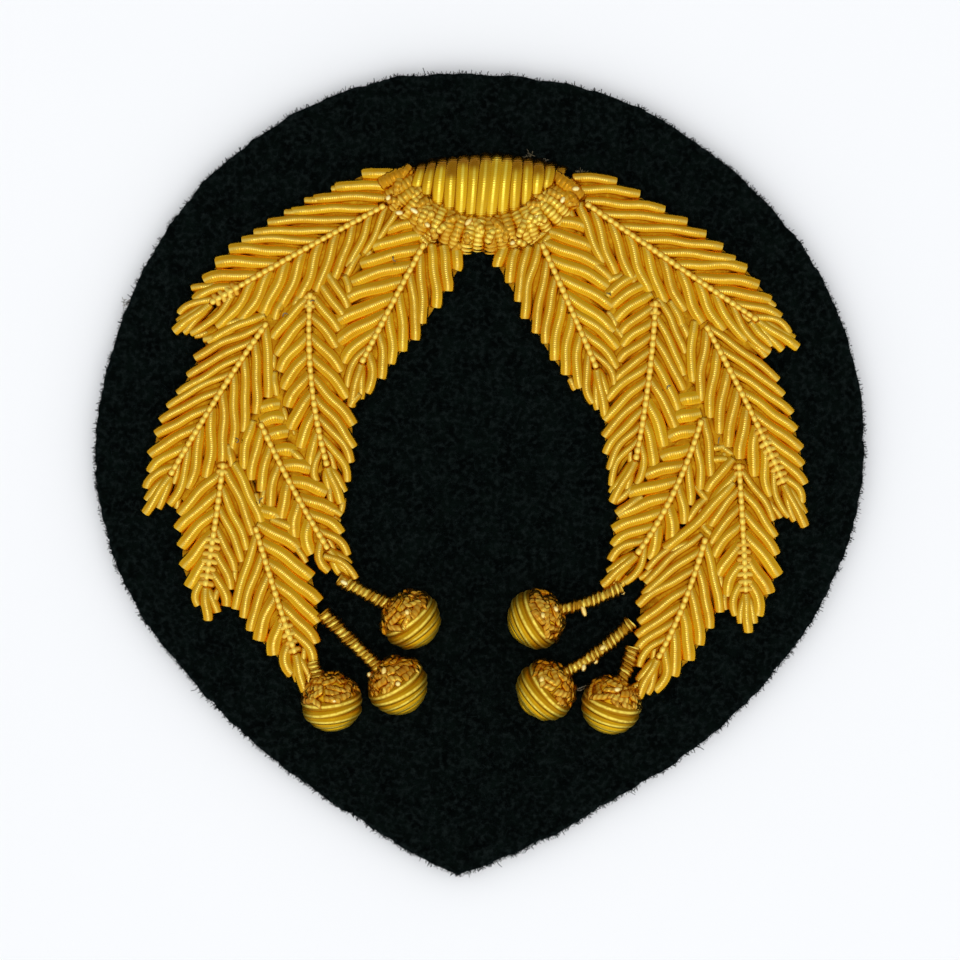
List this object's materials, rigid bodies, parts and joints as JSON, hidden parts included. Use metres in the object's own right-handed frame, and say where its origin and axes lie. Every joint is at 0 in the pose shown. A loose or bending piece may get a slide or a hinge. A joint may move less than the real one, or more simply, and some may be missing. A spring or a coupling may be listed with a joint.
{
  "type": "bullion blazer badge",
  "caption": "Flat felt badge with a pointed foot, worked in raised gold wire: a padded boss between two leafy branches with berries on stems.",
  "frame": {"origin": "middle of the badge's outline box, on the back face of the felt", "axes": "+Z out of the embroidered face, +Y towards the top of the badge, away from its pointed foot, +X to the viewer's right"},
  "size_m": [0.077, 0.0802, 0.0055],
  "materials": {
    "wool_felt": "matt brushed wool felt with a cut edge",
    "smooth_purl": "bright gilt wire wound in a fine smooth coil",
    "yellow_purl": "bright yellow gilt wire wound in a fine smooth coil",
    "check_purl": "sparkling gilt wire wound in a faceted coil",
    "pearl_purl": "polished gilt wire wound in a beaded coil"
  },
  "bodies": {
    "root": {"backing_cloth": "wool_felt", "boss": "yellow_purl", "boss_band": "check_purl", "leaf_left_1": "smooth_purl", "leaf_left_2": "smooth_purl", "leaf_left_3": "smooth_purl", "leaf_left_4": "smooth_purl", "leaf_left_5": "smooth_purl", "leaf_left_6": "smooth_purl", "leaf_left_7": "smooth_purl", "leaf_right_1": "smooth_purl", "leaf_right_2": "smooth_purl", "leaf_right_3": "smooth_purl", "leaf_right_4": "smooth_purl", "leaf_right_5": "smooth_purl", "leaf_right_6": "smooth_purl", "leaf_right_7": "smooth_purl", "vein_left_1": "pearl_purl", "vein_left_2": "pearl_purl", "vein_left_3": "pearl_purl", "vein_left_4": "pearl_purl", "vein_left_5": "pearl_purl", "vein_left_6": "pearl_purl", "vein_left_7": "pearl_purl", "vein_right_1": "pearl_purl", "vein_right_2": "pearl_purl", "vein_right_3": "pearl_purl", "vein_right_4": "pearl_purl", "vein_right_5": "pearl_purl", "vein_right_6": "pearl_purl", "vein_right_7": "pearl_purl", "berry_left_1": "yellow_purl", "berry_left_2": "yellow_purl", "berry_left_3": "yellow_purl", "berry_right_1": "yellow_purl", "berry_right_2": "yellow_purl", "berry_right_3": "yellow_purl", "cap_left_1": "check_purl", "cap_left_2": "check_purl", "cap_left_3": "check_purl", "cap_right_1": "check_purl", "cap_right_2": "check_purl", "cap_right_3": "check_purl", "stem_left_1": "check_purl", "stem_left_2": "check_purl", "stem_left_3": "check_purl", "stem_right_1": "check_purl", "stem_right_2": "check_purl", "stem_right_3": "check_purl"}
  },
  "joints": []
}
